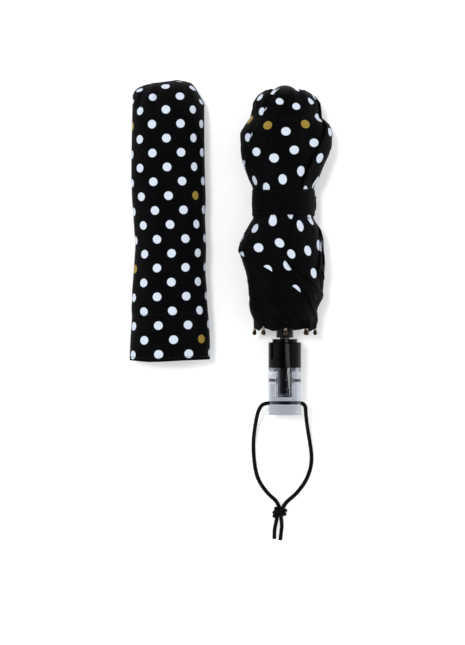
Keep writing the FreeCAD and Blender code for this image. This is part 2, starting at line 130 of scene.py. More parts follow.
# The wrist cord's routes from the grip to the knot, and its tails, millimetres
CORD_D = 3.0
LEFT_STRAND = [
    (28.3, -119.2, 27.0), (24.2, -119.6, 26.5), (20.8, -125.0, 22.9), (18.9, -134.5, 14.6),
    (17.2, -148.0, 5.0), (17.6, -163.0, 1.5), (20.2, -178.0, 1.5), (28.2, -189.5, 1.5),
    (36.4, -196.0, 1.6), (37.6, -201.4, 3.0),
]
RIGHT_STRAND = [
    (53.7, -119.2, 27.0), (56.6, -120.2, 26.5), (57.0, -127.0, 22.5), (58.4, -138.0, 13.5),
    (60.8, -150.5, 5.0), (62.6, -164.5, 1.5), (59.0, -178.0, 1.5), (50.2, -190.0, 1.5),
    (41.4, -196.6, 1.7), (39.4, -201.4, 3.0),
]
LEFT_TAIL = [(35.8, -206.6, 2.9), (34.3, -213.0, 1.7), (33.3, -219.0, 1.5), (33.5, -224.3, 1.5)]
RIGHT_TAIL = [(38.4, -206.6, 2.9), (39.3, -213.2, 1.7), (38.6, -219.6, 1.5), (38.0, -225.2, 1.5)]
KNOT_CENTRE = (36.9, -204.2, 3.6)


def link(obj):
    """Puts an object in the scene."""
    bpy.context.scene.collection.objects.link(obj)
    return obj


def add_spline(curve, points):
    """Adds a smooth open NURBS spline with these control points, in millimetres."""
    spline = curve.splines.new("NURBS")
    spline.points.add(len(points) - 1)
    for point, co in zip(spline.points, points):
        point.co = (co[0] * MM, co[1] * MM, co[2] * MM, 1.0)
    spline.order_u = 3
    spline.use_endpoint_u = True


def curve_object(name, points, diameter, material):
    """A round tube on one smooth spline."""
    curve = bpy.data.curves.new(name, "CURVE")
    curve.dimensions = "3D"
    curve.bevel_depth = diameter / 2 * MM
    curve.bevel_resolution = 5
    curve.resolution_u = 10
    curve.use_fill_caps = True
    add_spline(curve, points)
    curve.materials.append(material)
    return link(bpy.data.objects.new(name, curve))


# -------- materials

def smooth_ramp(tree, low, high, start, end):
    """A node that goes smoothly from start to end as its value goes from low to high."""
    node = tree.nodes.new("ShaderNodeMapRange")
    node.interpolation_type = "SMOOTHSTEP"
    for key, number in zip(("From Min", "From Max", "To Min", "To Max"), (low, high, start, end)):
        node.inputs[key].default_value = number
    return node


class Nodes:
    """A small helper that adds and joins shader nodes."""

    def __init__(self, name):
        self.material = bpy.data.materials.new(name)
        self.material.use_nodes = True
        self.tree = self.material.node_tree
        self.tree.nodes.clear()
        self.shader = self.new("BsdfPrincipled")
        self.new("OutputMaterial", Surface=self.shader.outputs[0])

    def new(self, kind, **inputs):
        """Adds a node with these values or links at its inputs."""
        node = self.tree.nodes.new("ShaderNode" + kind)
        for key, value in inputs.items():
            self.put(value, node.inputs[key])
        return node

    def join(self, source, target):
        self.tree.links.new(source, target)

    def put(self, value, socket):
        if hasattr(value, "is_output"):
            self.join(value, socket)
        elif value is not None:
            socket.default_value = value

    def math(self, operation, a, b=None):
        node = self.new("Math")
        node.operation = operation
        for value, socket in zip((a, b), node.inputs):
            self.put(value, socket)
        return node.outputs[0]

    def add(self, a, b):
        return self.math("ADD", a, b)

    def less(self, a, b):
        return self.math("SUBTRACT", a, b)

    def times(self, a, b):
        return self.math("MULTIPLY", a, b)

    def wave(self, value, turns):
        """The sine of a value that goes round this many times for each unit."""
        return self.math("SINE", self.times(value, TAU * turns))

    def ramp(self, value, low, high, start=0.0, end=1.0):
        node = smooth_ramp(self.tree, low, high, start, end)
        self.put(value, node.inputs["Value"])
        return node.outputs[0]

    def mix(self, factor, a, b):
        node = self.new("Mix")
        node.data_type = "RGBA"
        self.put(factor, node.inputs[0])
        for value, socket in ((a, node.inputs[6]), (b, node.inputs[7])):
            self.put((*value, 1.0) if isinstance(value, tuple) else value, socket)
        return node.outputs[2]

    def attribute(self, name):
        node = self.new("Attribute")
        node.attribute_name = name
        return node.outputs["Vector"]

    def split(self, vector):
        return self.new("SeparateXYZ", Vector=vector).outputs

    def place(self):
        return self.new("TexCoord").outputs["Object"]

    def noise(self, scale, detail=4.0, vector=None):
        where = self.place() if vector is None else vector
        node = self.new("TexNoise", Scale=scale, Detail=detail, Roughness=0.55, Vector=where)
        return node.outputs["Fac"]

    def bump(self, height, strength, distance, below=None):
        node = self.new("Bump", Strength=strength, Distance=distance, Height=height, Normal=below)
        return node.outputs[0]

    def set(self, **values):
        names = {
            "color": "Base Color", "rough": "Roughness", "metal": "Metallic", "normal": "Normal",
            "sheen": "Sheen Weight", "sheen_rough": "Sheen Roughness", "coat": "Coat Weight",
            "coat_rough": "Coat Roughness", "specular": "Specular IOR Level", "ior": "IOR",
            "transmission": "Transmission Weight",
        }
        for key, value in values.items():
            self.put((*value, 1.0) if isinstance(value, tuple) else value, self.shader.inputs[names[key]])
        return self.material


# Colours and thread spacing of the cloth
CLOTH_BLACK = (0.0009, 0.0009, 0.0012)
CLOTH_WORN = (0.0022, 0.0022, 0.0028)
DOT_WHITE = (0.67, 0.73, 0.82)
DOT_SHADE = (0.50, 0.57, 0.68)
GOLD_LIGHT = (0.47, 0.33, 0.07)
GOLD_DARK = (0.26, 0.17, 0.03)
WEAVE_PITCH = 0.42


def weave(n, x, y):
    """Crossed threads of a plain weave, from cloth coordinates in millimetres."""
    return n.times(n.wave(x, 1 / WEAVE_PITCH), n.wave(y, 1 / WEAVE_PITCH))


def cloth_material(name, dotted):
    """Thin woven polyester, black on both faces, with printed dots where dotted."""
    n = Nodes(name)
    vector = n.attribute("cloth")
    x, y, _ = n.split(vector)
    threads = weave(n, x, y)
    mottle = n.noise(0.055, 5.0, vector)
    slub = n.noise(1.4, 3.0, vector)
    color = n.mix(n.ramp(mottle, 0.35, 0.75), CLOTH_BLACK, CLOTH_WORN)
    rough = n.ramp(slub, 0.3, 0.7, 0.62, 0.76)
    if dotted:
        scale = 1 / (DOT_SPACING * math.sqrt(2))
        squares, golds = [], []
        for place in (n.times(n.add(x, y), scale), n.times(n.less(y, x), scale)):
            cell = n.math("ROUND", place)
            beside = n.less(place, cell)
            squares.append(n.times(beside, beside))
            golds.append(n.math("LESS_THAN", n.math("FLOORED_MODULO", cell, GOLD_EVERY), 0.5))
        away = n.times(n.math("SQRT", n.add(*squares)), DOT_SPACING)
        edge = n.add(away, n.times(n.less(slub, 0.5), 0.3))
        ink = n.ramp(edge, DOT_RADIUS - DOT_EDGE, DOT_RADIUS + DOT_EDGE, 1.0, 0.0)
        gold = n.times(*golds)
        grain = n.ramp(n.noise(2.6, 4.0, vector), 0.35, 0.68)
        white = n.mix(grain, DOT_WHITE, DOT_SHADE)
        foil = n.mix(grain, GOLD_LIGHT, GOLD_DARK)
        color = n.mix(ink, color, n.mix(gold, white, foil))
        n.put(n.times(n.times(gold, ink), 0.55), n.shader.inputs["Metallic"])
        rough = n.less(rough, n.times(ink, 0.12))
    crumple = n.bump(n.noise(0.16, 5.0, vector), 0.55, 0.0009)
    normal = n.bump(threads, 0.22, 0.00006, crumple)
    return n.set(color=color, rough=rough, normal=normal, sheen=0.004, sheen_rough=0.4, specular=0.05)


def strap_material():
    """Ribbed black webbing."""
    n = Nodes("strap_webbing")
    vector = n.attribute("cloth")
    x, y, _ = n.split(vector)
    ribs = n.wave(x, 1 / 0.9)
    threads = weave(n, x, y)
    color = n.mix(n.ramp(n.noise(0.3, 5.0, vector), 0.3, 0.7), CLOTH_BLACK, CLOTH_WORN)
    rough = n.ramp(n.noise(1.2, 3.0, vector), 0.3, 0.7, 0.66, 0.8)
    normal = n.bump(threads, 0.3, 0.00006, n.bump(ribs, 0.3, 0.00012))
    return n.set(color=color, rough=rough, normal=normal, sheen=0.004, sheen_rough=0.4, specular=0.04)


BRAID_PITCH = 0.0016


def cord_material():
    """A round braided cord: two sets of strands that cross along its length, with painted shade in the
    grooves between them.
    """
    n = Nodes("braided_cord")
    x, y, z = n.split(n.place())
    along = n.times(y, 1 / BRAID_PITCH)
    across = n.times(n.add(x, z), 1 / BRAID_PITCH)
    braid = n.math("MAXIMUM", n.wave(n.add(along, across), 1), n.wave(n.less(along, across), 1))
    fuzz = n.noise(2600.0, 4.0)
    # The colour is darker in the grooves between the strands than on their crowns: painted shade
    color = n.mix(n.ramp(braid, -0.2, 1.0), (0.0012, 0.0012, 0.0015), (0.004, 0.004, 0.0045))
    rough = n.ramp(fuzz, 0.3, 0.7, 0.55, 0.8)
    normal = n.bump(fuzz, 0.2, 0.0001, n.bump(braid, 0.6, 0.0002))
    return n.set(color=color, rough=rough, normal=normal, sheen=0.008, sheen_rough=0.4, specular=0.07)


def plastic_material(name, color, rough_low, rough_high, coat, specular):
    """Moulded plastic with faint flow marks and fine handling scratches."""
    n = Nodes(name)
    flow = n.noise(240.0, 4.0)
    grain = n.noise(2400.0, 6.0)
    darker = tuple(0.6 * c for c in color)
    tint = n.mix(n.ramp(flow, 0.3, 0.7), color, darker)
    rough = n.ramp(grain, 0.3, 0.75, rough_low, rough_high)
    return n.set(
        color=tint, rough=rough, normal=n.bump(grain, 0.04, 0.00004), coat=coat, coat_rough=0.05,
        specular=specular,
    )


def metal_material(name, color, rough_low, rough_high, scale):
    """Plated metal with drawn streaks and slight stain."""
    n = Nodes(name)
    stain = n.noise(scale, 5.0)
    streak = n.noise(scale * 12, 3.0)
    darker = tuple(0.55 * c for c in color)
    tint = n.mix(n.ramp(stain, 0.35, 0.8), color, darker)
    rough = n.ramp(streak, 0.3, 0.7, rough_low, rough_high)
    return n.set(color=tint, rough=rough, metal=1.0, normal=n.bump(streak, 0.05, 0.00003))


def acrylic_material():
    """Clear cast acrylic with a very slight waviness."""
    n = Nodes("clear_acrylic")
    wave = n.noise(70.0, 2.0)
    rough = n.ramp(n.noise(900.0, 3.0), 0.4, 0.8, 0.0, 0.035)
    return n.set(
        color=(0.54, 0.57, 0.63), rough=rough, normal=n.bump(wave, 0.08, 0.0003),
        transmission=1.0, ior=1.49, specular=0.5,
    )


def thread_material():
    """Black sewing thread."""
    n = Nodes("sewing_thread")
    twist = n.noise(5200.0, 3.0)
    color = n.mix(n.ramp(twist, 0.3, 0.7), (0.002, 0.002, 0.0025), (0.010, 0.010, 0.012))
    rough = n.ramp(twist, 0.3, 0.7, 0.45, 0.65)
    return n.set(color=color, rough=rough, normal=n.bump(twist, 0.3, 0.00005), specular=0.25)


FLOOR_GLOW = 0.22


def floor_material():
    """A white sweep that is lit a little from below, so that shadows stay light."""
    n = Nodes("floor")
    tone = n.mix(n.ramp(n.noise(3.0), 0.3, 0.7), (0.90, 0.90, 0.90), (0.92, 0.92, 0.92))
    n.shader.inputs["Emission Strength"].default_value = FLOOR_GLOW
    return n.set(color=tone, rough=0.85, specular=0.1)


# -------- mesh helpers

def mesh_object(name, verts, faces, materials, cloth=None):
    """A smooth mesh from places in millimetres, with its cloth coordinates if it has any."""
    mesh = bpy.data.meshes.new(name)
    verts = np.reshape(verts, (-1, 3))
    mesh.from_pydata([tuple(v) for v in verts * MM], [], faces)
    for material in materials:
        mesh.materials.append(material)
    if cloth is not None:
        flat = np.zeros((len(verts), 3), np.float32)
        flat[:, :2] = np.reshape(cloth, (-1, 2))
        mesh.attributes.new("cloth", "FLOAT_VECTOR", "POINT").data.foreach_set("vector", flat.ravel())
    mesh.update()
    mesh.shade_smooth()
    return link(bpy.data.objects.new(name, mesh))


def thicken(obj, thickness, inner_slot=0):
    """Gives a sheet its thickness, with its inner face on another material slot."""
    modifier = obj.modifiers.new("thickness", "SOLIDIFY")
    modifier.thickness = thickness * MM
    modifier.offset = -1.0
    modifier.material_offset = inner_slot
    modifier.material_offset_rim = inner_slot
    modifier.use_even_offset = False


@contextmanager
def edited(obj):
    """The mesh of an object, to be changed; it is written back and shaded smooth."""
    mesh = bmesh.new()
    mesh.from_mesh(obj.data)
    mesh.verts.ensure_lookup_table()
    yield mesh
    mesh.to_mesh(obj.data)
    mesh.free()
    obj.data.shade_smooth()


def grid_faces(rows, columns, wrap=False, base=0, flip=False):
    """Quads between the rows and columns of a grid of vertices that starts at base."""
    faces = []
    span = columns if wrap else columns - 1
    for r in range(rows - 1):
        for c in range(span):
            d = (c + 1) % columns
            quad = (
                base + r * columns + c, base + r * columns + d,
                base + (r + 1) * columns + d, base + (r + 1) * columns + c,
            )
            faces.append(quad[::-1] if flip else quad)
    return faces


def smoothstep(low, high, x):
    """Rises smoothly from 0 at low to 1 at high."""
    t = np.clip((x - low) / (high - low), 0.0, 1.0)
    return t * t * (3 - 2 * t)


class RoundWaves:
    """A smooth random field on a roll of this radius: seeded waves that close on themselves."""

    def __init__(self, seed, count, shortest, longest, radius):
        chance = random.Random(seed)
        self.parts = []
        for _ in range(count):
            length = math.exp(chance.uniform(math.log(shortest), math.log(longest)))
            angle = chance.uniform(0, TAU)
            turns = round(TAU * radius / length * math.cos(angle))
            self.parts.append((turns, TAU / length * math.sin(angle), chance.uniform(0, TAU)))

    def __call__(self, theta, y):
        total = sum(np.sin(n * theta + ky * y + phase) for n, ky, phase in self.parts)
        return total / math.sqrt(len(self.parts))


# -------- canopy

# The roll's outline: (Y, reach towards -X, reach towards +X, reach upwards)
OUTLINE = np.array([
    (-66.0, 24.5, 21.5, 24.5), (-60.0, 25.5, 22.0, 25.5), (-50.0, 28.0, 26.0, 26.5),
    (-40.0, 29.3, 29.6, 27.0), (-22.0, 30.0, 29.6, 27.2), (-14.0, 33.0, 29.5, 27.2),
    (-8.0, 35.2, 29.4, 27.2), (-3.0, 35.8, 29.2, 27.2), (4.0, 33.8, 29.0, 27.0),
    (13.0, 29.0, 27.0, 26.0), (21.0, 24.2, 22.0, 23.6), (45.0, 24.2, 22.0, 23.6),
    (52.0, 27.5, 26.0, 25.0), (62.0, 31.5, 30.0, 26.5), (74.0, 33.4, 35.0, 27.0),
    (86.0, 33.2, 36.2, 27.0), (92.0, 29.0, 33.5, 26.2), (97.0, 25.2, 27.6, 25.0),
    (108.0, 24.0, 26.0, 23.6), (114.0, 20.5, 22.0, 20.5), (118.5, 13.4, 13.8, 13.4),
])
STRAP_Y = (22.3, 43.8)
ROOM_UNDER_AXIS = AXIS_Z - 0.35

# Layers of cloth in the roll: their pitch, and how deep the innermost is pressed
LAYER = 0.38
DEEPEST = 8.0

# Winding of each flap at its hem's corner, degrees: the first flap is the front gore's
FRONT_GORE = 4
WINDING = [366.0, 354.0, 352.0, 350.0, 345.0, 336.0, 304.0, 322.0]


def oval_reach(left, right, top, theta):
    """Distance from the shaft's axis to an oval with these reaches, flat where it lies down."""
    c, s = np.cos(theta), np.sin(theta)
    side = np.where(c > 0, right, left)
    reach = 1 / np.sqrt((c / side) ** 2 + (s / top) ** 2)
    return np.minimum(reach, ROOM_UNDER_AXIS / np.maximum(-s, 1e-3))


def outline_reach(y, theta):
    """Distance of the roll's outer surface from the shaft's axis."""
    left, right, top = (np.interp(y, OUTLINE[:, 0], OUTLINE[:, n]) for n in (1, 2, 3))
    return oval_reach(left, right, top, theta)


def flap_order():
    """Each gore's first rib and its winding at the hem's corner, as angles."""
    return [(k * GORE_ANGLE, math.radians(WINDING[k - FRONT_GORE])) for k in range(RIBS)]


# How far the hem hangs below its place on a taut canopy: at the crease, on +X, underneath,
# and between the rib tips. It gathers just above its lowest Y.
HEM_CORNER_DROP = 7.0
HEM_SLOPE = 18.0
HEM_UNDERSIDE = 15.0
HEM_SAG = 2.8
HEM_LOW_Y = -62.5
HEM_GATHER = 6.0


# Distances along the ribs at which the cloth has a row of vertices, and vertices in a row
ROWS = np.concatenate([
    np.arange(3.0, KNEE_A, 9.5),
    np.arange(KNEE_A, TOP_A - 8, 9.5),
    np.arange(TOP_A - 8, ELBOW_A + 8, 2.2),
    np.arange(ELBOW_A + 8, RIB_LENGTH - 1.0, 1.9),
    [RIB_LENGTH - 0.6],
])
COLUMNS = 84

# The hem's corner, where the crease meets it: along the rib, and across from it
HEM_A = RIB_LENGTH * math.cos(HALF_GORE) ** 2
HEM_D = RIB_LENGTH * math.sin(HALF_GORE) * math.cos(HALF_GORE)
HEM_LENGTH = 2 * RIB_LENGTH * math.sin(HALF_GORE)


def flap_width(a):
    """How far the cloth reaches from its rib at this distance along it: to its crease or hem."""
    return np.minimum(a * math.tan(HALF_GORE), (RIB_LENGTH - a) / math.tan(HALF_GORE))


# The grid of half a gore: distances along the rib, shares of the way across from it, and
# distances from the rib and from the gore's centre line
GRID_A, GRID_T = np.meshgrid(ROWS, np.linspace(0, 1, COLUMNS), indexing="ij")
GRID_D = GRID_T * flap_width(GRID_A)
GRID_LATERAL = GRID_A * math.sin(HALF_GORE) - GRID_D * math.cos(HALF_GORE)

# The outer span and the turn over the top: distances along the rib, and their Y
ELBOW_Y = 102.0
OUTER_A = [TOP_A, ELBOW_A, RIB_LENGTH]
OUTER_Y = np.array([118.5, ELBOW_Y, -61.5])

# Table of the outermost winding: steps round the roll, its rows, and its smoothing in steps
ENVELOPE_STEPS = 360
ENVELOPE_Y = np.arange(-70.0, 121.0, 2.0)
ENVELOPE_BLUR = 7.0
ENVELOPE_REACH = 18


def winding_envelope():
    """The outermost winding at each Y and azimuth, smoothed over the creases."""
    theta = np.arange(ENVELOPE_STEPS) * TAU / ENVELOPE_STEPS
    reach = np.arange(-ENVELOPE_REACH, ENVELOPE_REACH + 1)
    kernel = np.exp(-0.5 * (reach / ENVELOPE_BLUR) ** 2)
    kernel /= kernel.sum()
    table = np.zeros((len(ENVELOPE_Y), ENVELOPE_STEPS))
    along = np.interp(-ENVELOPE_Y, -OUTER_Y, OUTER_A)
    for row, a in enumerate(np.minimum(along, HEM_A)):
        best = np.zeros(ENVELOPE_STEPS)
        for base, winding in flap_order():
            tip = winding * flap_width(a) / HEM_D
            ahead = np.mod(theta - base, TAU)
            turns = np.floor((tip - ahead) / TAU)
            best = np.maximum(best, np.where(turns >= 0, ahead + turns * TAU, 0.0))
        padded = np.concatenate([best[-ENVELOPE_REACH:], best, best[:ENVELOPE_REACH]])
        table[row] = np.convolve(padded, kernel, mode="valid")
    return table


ENVELOPE = winding_envelope()


def envelope_at(y, theta):
    """The outermost winding at these places on the roll, from the table."""
    row = np.interp(y, ENVELOPE_Y, np.arange(len(ENVELOPE_Y)))
    column = np.mod(theta, TAU) / TAU * ENVELOPE_STEPS
    r0 = np.minimum(np.floor(row).astype(int), len(ENVELOPE_Y) - 2)
    c0 = np.floor(column).astype(int) % ENVELOPE_STEPS
    c1 = (c0 + 1) % ENVELOPE_STEPS
    fr, fc = row - r0, column - np.floor(column)
    low = ENVELOPE[r0, c0] * (1 - fc) + ENVELOPE[r0, c1] * fc
    high = ENVELOPE[r0 + 1, c0] * (1 - fc) + ENVELOPE[r0 + 1, c1] * fc
    return low * (1 - fr) + high * fr


def layer_depth(y, theta, wound, inner):
    """How far below the roll's outer surface a layer lies."""
    pitch = 2 * RIBS * LAYER / TAU
    depth = (envelope_at(y, theta) - wound) * pitch + (LAYER if inner else 0.0)
    packed = DEEPEST * (1 - np.exp(-depth.clip(0, None) / DEEPEST))
    depth = np.where(depth > 0, packed, depth)
    return depth * (1 - 0.25 * smoothstep(-30.0, -58.0, y))


def rib_room(y, theta):
    """How far the outer ribs push all the layers out where the roll is thin, near the tips."""
    rod = np.interp(y, [TIP_Y, ELBOW_Y], [24.0, 15.6])
    deepest = outline_reach(y, theta) - layer_depth(y, theta, 0.0, False)
    away = np.abs(np.mod(theta + HALF_GORE, GORE_ANGLE) - HALF_GORE) * rod
    near_tips = smoothstep(-10.0, -40.0, y)
    return near_tips * (rod - deepest).clip(0, None) * np.exp(-((away / 4.5) ** 2))


# The cloth's hole, held under the cap
TOP_HOLE_R = 11.5
TOP_HOLE_Y = 106.1


def closed_points(k, winding, inner):
    """Positions in millimetres of one half of a gore, folded: rows by columns by xyz."""
    a, t, d = GRID_A, GRID_T, GRID_D
    base = k * GORE_ANGLE
    if inner:
        start = base + GORE_ANGLE
        below_hem = start + (winding - GORE_ANGLE) * d / HEM_D
        above_hem = start + (base + winding * flap_width(a) / HEM_D - start) * t
        theta = np.where(a > HEM_A, below_hem, above_hem)
    else:
        theta = base + winding * d / HEM_D
    wound = theta - base

    # outer span and the turn over the top: first along the shaft, then out from it
    loose = smoothstep(HEM_A - 70.0, HEM_A, a) * smoothstep(0.0, 0.3, t)
    drop = HEM_CORNER_DROP * t**2 + HEM_SLOPE * (0.5 + 0.5 * np.cos(theta)) ** 1.5
    if inner:
        from_corner = np.maximum(smoothstep(1.0, 0.86, t), smoothstep(HEM_A, HEM_A + 14.0, a))
        drop = drop + HEM_UNDERSIDE * from_corner
    y = np.interp(a, OUTER_A, OUTER_Y) - drop * loose
    below = HEM_LOW_Y + HEM_GATHER - y
    y = np.where(below > 0, HEM_LOW_Y + HEM_GATHER * np.exp(-below / HEM_GATHER), y)
    sag = HEM_SAG * (0.5 - 0.5 * np.cos(RIBS * theta)) * (0.75 + 0.25 * np.sin(3 * theta + 0.7))
    y = y - sag * smoothstep(HEM_LOW_Y + 10.0, HEM_LOW_Y, y)
    depth = layer_depth(y, theta, wound, inner)
    step = 0.5
    slope = (outline_reach(y + step, theta) - outline_reach(y - step, theta)) / (2 * step)
    size = np.sqrt(1 + slope**2)
    r_outer = outline_reach(y, theta) - depth / size + rib_room(y, theta)
    y_outer = y + depth * slope / size
    r_outer, y_outer = crumple(a, t, theta, r_outer, y_outer, depth)
    rib_r = np.minimum(np.interp(a, [ELBOW_A, RIB_LENGTH], [15.9, 24.4]), r_outer)
    off_rib = smoothstep(0.0, 13.0, d)
    r_outer = np.where(a > ELBOW_A - 4, rib_r + (r_outer - rib_r) * off_rib, r_outer)
    r_outer = np.where(a < ELBOW_A + 20, np.maximum(r_outer, TOP_HOLE_R), r_outer)

    # the two spans hidden inside
    up = np.clip((a - KNEE_A) / (TOP_A - KNEE_A), 0, 1)
    pleats = np.sin(theta * 16 + 1.3 * k + 2.0 * inner) * smoothstep(0.0, 8.0, d)
    r_middle = 14.6 + 3.2 * wound / TAU + 0.9 * pleats
    y_middle = -30.0 + 142.0 * up
    turn = smoothstep(TOP_A - 9, TOP_A, a)
    r_middle = r_middle + (np.maximum(r_outer, TOP_HOLE_R) - r_middle) * turn
    y_middle = y_middle + (y_outer - y_middle) * turn
    r_inner = np.minimum(5.2 + 0.55 * a, 10.6 + 2.8 * wound / TAU + 0.7 * pleats)
    y_inner = TOP_HOLE_Y - (a - 10).clip(0, None)
    r = np.where(a >= TOP_A, r_outer, np.where(a >= KNEE_A, r_middle, r_inner))
    y = np.where(a >= TOP_A, y_outer, np.where(a >= KNEE_A, y_middle, y_inner))
    x = AXIS_X + r * np.cos(theta)
    z = AXIS_Z + r * np.sin(theta)
    return np.stack([x, y, np.maximum(z, 0.3)], axis=-1)


# Uneven places and wrinkles of the roll
BROAD_WAVES = RoundWaves(11, 8, 24.0, 70.0, 27.0)
FINE_WAVES = RoundWaves(57, 12, 14.0, 28.0, 27.0)


def crumple(a, t, theta, r, y, depth):
    """Gathers at the strap and the cap, lifted creases and soft wrinkles.

    Every layer moves alike, so that none comes through the one over it."""
    from_strap = np.maximum(STRAP_Y[0] - y, y - STRAP_Y[1]).clip(0, None)
    strap_near = np.exp(-((from_strap / 9.0) ** 2))
    cap_near = smoothstep(96.0, 116.0, y)
    tip_near = smoothstep(-14.0, -46.0, y)
    free = 1 - np.exp(-((from_strap / 5.0) ** 2))
    gather = 0.45 * strap_near * np.sin(theta * 21 + 0.05 * y + 1.1 * np.sin(3 * theta))
    gather += 0.9 * cap_near * np.sin(theta * 15 + 1.3 * np.sin(2 * theta))
    fine = 0.10 + 0.42 * tip_near + 0.2 * cap_near
    rough = 0.6 * BROAD_WAVES(theta, y) + fine * FINE_WAVES(theta, y)
    exposed = np.exp(-depth.clip(0, None) / 0.5)
    lift = 0.6 * np.exp(-((1 - t) * flap_width(a) / 5.0) ** 2) * exposed
    at_cap = 1 - 0.75 * smoothstep(107.0, 117.0, y)
    moved = r + (rough + gather + lift) * free * at_cap
    down = np.maximum(-np.sin(theta), 1e-3)
    moved = np.minimum(moved, (ROOM_UNDER_AXIS - 0.6 * depth.clip(0, None)) / down)
    return moved, y + cap_near * 0.5 * np.sin(theta * 11)


def rib_turns(k):
    """The turns that carry a point of each span of a rib to its place when it is open."""
    turns = []
    total = Matrix.Identity(4)
    for kind in ("inner", "middle", "outer"):
        j = joint(f"rib_{kind}_hinge_{k % RIBS + 1}")
        angle = max(j["range_deg"], key=abs)
        centre = Vector(j["pos_m"]) / MM
        turn = Matrix.Rotation(math.radians(angle), 4, Vector(j["axis"]))
        total = total @ (Matrix.Translation(centre) @ turn @ Matrix.Translation(-centre))
        turns.append(np.array(total))
    return turns


def open_rib(k, s):
    """Where the cloth over a rib is when the canopy is open, for distances s along it."""
    azimuth = k * GORE_ANGLE
    knots = [
        (0.0, 5.0, TOP_HOLE_Y, None), (9.0, 11.8, TOP_HOLE_Y, None),
        (18.0, 10.4, CROWN_Y - 14.0, 0), (KNEE_A, 10.6, CROWN_Y - KNEE_A, 0),
        (KNEE_A + 6, 9.6, CROWN_Y - KNEE_A + 6, 1), (ELBOW_A, 9.6, CROWN_Y - 2.0, 1),
        (ELBOW_A + 6, 16.2, CROWN_Y - 8.0, 2), (RIB_LENGTH, 24.6, TIP_Y, 2),
    ]
    turns = rib_turns(k)
    places = []
    for _, r, y, span in knots:
        point = np.array([AXIS_X + r * math.cos(azimuth), y, AXIS_Z + r * math.sin(azimuth), 1.0])
        places.append((point if span is None else turns[span] @ point)[:3])
    places = np.array(places)
    at = [knot[0] for knot in knots]
    return np.stack([np.interp(s, at, places[:, n]) for n in range(3)], axis=-1)


# Share by which the taut open cloth is drawn in at the middle of each hem
OPEN_HOLLOW = 0.07


def open_points(k, inner):
    """Positions in millimetres of one half of a gore, with the canopy open."""
    s = GRID_A + GRID_D * math.tan(HALF_GORE)
    share = (0.5 + 0.5 * GRID_LATERAL / (s * math.sin(HALF_GORE)))[..., None]
    own, other = (k + 1, k) if inner else (k, k + 1)
    points = share * open_rib(own, s) + (1 - share) * open_rib(other, s)
    taut = 4 * share * (1 - share) * (s[..., None] / RIB_LENGTH) ** 1.5
    return CROWN + (points - CROWN) * (1 - OPEN_HOLLOW * taut)


def flat_points(inner):
    """Cloth coordinates in millimetres of one half of a gore, about its centre line."""
    along = GRID_A * math.cos(HALF_GORE) + GRID_D * math.sin(HALF_GORE)
    return np.stack([GRID_LATERAL if inner else -GRID_LATERAL, along], axis=-1)


# Where each gore's cloth was cut from the printed roll, millimetres
CUT_PLACES = [
    (3.0, 5.0), (7.0, 1.0), (0.0, 9.0), (16.9, 8.2),
    (18.4, 7.9), (8.5, 2.7), (4.0, 7.0), (8.0, 3.0),
]

# The strap pulls the front gore's cloth this much further down under itself
STRAP_PULL = (3.5, -7.2)


def unfold_modifier(obj, target):
    """Moves each vertex to its stored open place as the runner slides up."""
    attribute = obj.data.attributes.new("open_place", "FLOAT_VECTOR", "POINT")
    attribute.data.foreach_set("vector", (np.asarray(target) * MM).astype(np.float32).ravel())
    modifier = obj.modifiers.new("unfold", "NODES")
    modifier.node_group = unfold_nodes()


def unfold_nodes():
    """Nodes that mix the folded and the stored open place by how far the runner has gone."""
    name = "unfold_with_runner"
    if name in bpy.data.node_groups:
        return bpy.data.node_groups[name]
    group = bpy.data.node_groups.new(name, "GeometryNodeTree")
    for way in ("INPUT", "OUTPUT"):
        group.interface.new_socket("Geometry", in_out=way, socket_type="NodeSocketGeometry")
    new = group.nodes.new
    start, end = new("NodeGroupInput"), new("NodeGroupOutput")
    info = new("GeometryNodeObjectInfo")
    info.transform_space = "RELATIVE"
    info.inputs["Object"].default_value = frame["bodies"]["runner"]
    split = new("ShaderNodeSeparateXYZ")
    travelled = smooth_ramp(group, 0.0, TRAVEL, 0.0, 1.0)
    stored = new("GeometryNodeInputNamedAttribute")
    stored.data_type = "FLOAT_VECTOR"
    stored.inputs["Name"].default_value = "open_place"
    mix = new("ShaderNodeMix")
    mix.data_type = "VECTOR"
    move = new("GeometryNodeSetPosition")
    join = group.links.new
    join(info.outputs["Location"], split.inputs[0])
    join(split.outputs[1], travelled.inputs["Value"])
    join(travelled.outputs[0], mix.inputs[0])
    join(new("GeometryNodeInputPosition").outputs[0], mix.inputs[4])
    join(stored.outputs["Attribute"], mix.inputs[5])
    join(start.outputs[0], move.inputs["Geometry"])
    join(mix.outputs[1], move.inputs["Position"])
    join(move.outputs[0], end.inputs[0])
    return group


def make_gore(k, winding, dotted, plain):
    """One gore: two halves that share their crease down to the hem's corner."""
    columns = 2 * COLUMNS
    halves = [
        (closed_points(k, winding, inner), open_points(k, inner), flat_points(inner))
        for inner in (False, True)
    ]
    closed, opened, flat = (np.hstack([outer, inner[:, ::-1]]) for outer, inner in zip(*halves))
    flat = flat + np.array(CUT_PLACES[k])
    if k == FRONT_GORE:
        flat = flat + smoothstep(352.0, 371.0, ROWS)[:, None, None] * np.array(STRAP_PULL)
    faces = []
    for face in grid_faces(len(ROWS), columns):
        row, column = divmod(face[0], columns)
        if column != COLUMNS - 1 or ROWS[row + 1] <= HEM_A:
            faces.append(face)
    name = f"canopy_gore_cloth_{k + 1}"
    obj = mesh_object(name, closed, faces, [dotted, plain], flat)
    unfold_modifier(obj, opened.reshape(-1, 3))
    weld(obj)
    thicken(obj, CLOTH_T, inner_slot=1)
    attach(obj, "canopy")
    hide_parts(f"canopy_gore_{k + 1}")


